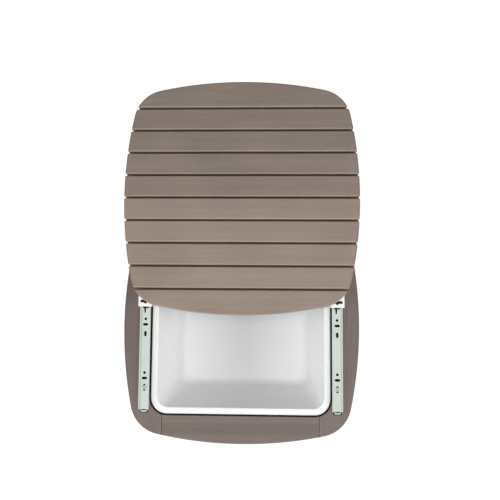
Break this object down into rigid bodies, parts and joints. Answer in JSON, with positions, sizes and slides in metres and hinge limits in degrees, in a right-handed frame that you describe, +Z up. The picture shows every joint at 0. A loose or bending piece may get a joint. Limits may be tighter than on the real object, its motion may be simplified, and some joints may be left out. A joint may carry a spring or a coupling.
{
  "type": "ice bucket coffee table",
  "caption": "Low square garden table whose slatted top slides back on ball-bearing slides over a white ice bucket set in a boarded rim, on a plank-clad base.",
  "frame": {"origin": "on the floor under the middle of the base", "axes": "+Z up, +X to the right, +Y towards the back, the way the top slides open"},
  "size_m": [0.45, 0.6913, 0.45],
  "materials": {
    "composite_top": "matt grained wood-look composite, taupe",
    "composite_rim": "matt grained wood-look composite, taupe",
    "composite_cladding": "matt grained wood-look composite, taupe",
    "white_plastic": "satin moulded white",
    "zinc_steel": "bright zinc, faintly green",
    "ball_steel": "polished",
    "screw_steel": "bright zinc",
    "frame_aluminium": "dark brown powder coat",
    "black_plastic": "black moulded"
  },
  "bodies": {
    "base": {"inner_rail_left": "zinc_steel", "inner_rail_right": "zinc_steel", "inner_rail_screws": "screw_steel", "rim_screws": "screw_steel", "rim_board_front": "composite_rim", "rim_board_back": "composite_rim", "rim_board_left": "composite_rim", "rim_board_right": "composite_rim", "planks_front": "composite_cladding", "planks_back": "composite_cladding", "planks_left": "composite_cladding", "planks_right": "composite_cladding", "corner_cladding_front_left": "composite_cladding", "post_front_left": "frame_aluminium", "foot_front_left": "black_plastic", "corner_cladding_front_right": "composite_cladding", "post_front_right": "frame_aluminium", "foot_front_right": "black_plastic", "corner_cladding_back_left": "composite_cladding", "post_back_left": "frame_aluminium", "foot_back_left": "black_plastic", "corner_cladding_back_right": "composite_cladding", "post_back_right": "frame_aluminium", "foot_back_right": "black_plastic", "ice_bucket": "white_plastic", "upper_frame": "frame_aluminium", "lower_frame": "frame_aluminium"},
    "top": {"top_slat_1": "composite_top", "top_slat_2": "composite_top", "top_slat_3": "composite_top", "top_slat_4": "composite_top", "top_slat_5": "composite_top", "top_slat_6": "composite_top", "top_slat_7": "composite_top", "top_slat_8": "composite_top", "top_slat_9": "composite_top", "top_slat_10": "composite_top", "top_panel": "frame_aluminium", "slat_screws": "screw_steel", "outer_rail_left": "zinc_steel", "outer_rail_right": "zinc_steel", "outer_rail_screws": "screw_steel"},
    "middle_rails": {"middle_rail_left": "zinc_steel", "middle_rail_right": "zinc_steel", "bumper_left": "black_plastic", "bumper_right": "black_plastic"},
    "inner_cages": {"inner_cage_left": "zinc_steel", "inner_cage_right": "zinc_steel", "inner_balls_left": "ball_steel", "inner_balls_right": "ball_steel"},
    "outer_cages": {"outer_cage_left": "zinc_steel", "outer_cage_right": "zinc_steel", "outer_balls_left": "ball_steel", "outer_balls_right": "ball_steel"}
  },
  "joints": [
    {"name": "top_slide", "type": "slide", "parent": "base", "child": "top", "axis": [0, 1, 0], "range_m": [-0.2413, 0.0587]},
    {"name": "middle_rail_slide", "type": "slide", "parent": "base", "child": "middle_rails", "axis": [0, 1, 0], "range_m": [-0.1637, 0.0398]},
    {"name": "inner_cage_slide", "type": "slide", "parent": "base", "child": "inner_cages", "axis": [0, 1, 0], "range_m": [-0.0819, 0.0199]},
    {"name": "outer_cage_slide", "type": "slide", "parent": "base", "child": "outer_cages", "axis": [0, 1, 0], "range_m": [-0.2025, 0.0493]}
  ],
  "couplings": [
    {"joint": "middle_rail_slide", "follows": "top_slide", "ratio": 0.678},
    {"joint": "inner_cage_slide", "follows": "top_slide", "ratio": 0.339},
    {"joint": "outer_cage_slide", "follows": "top_slide", "ratio": 0.839}
  ]
}
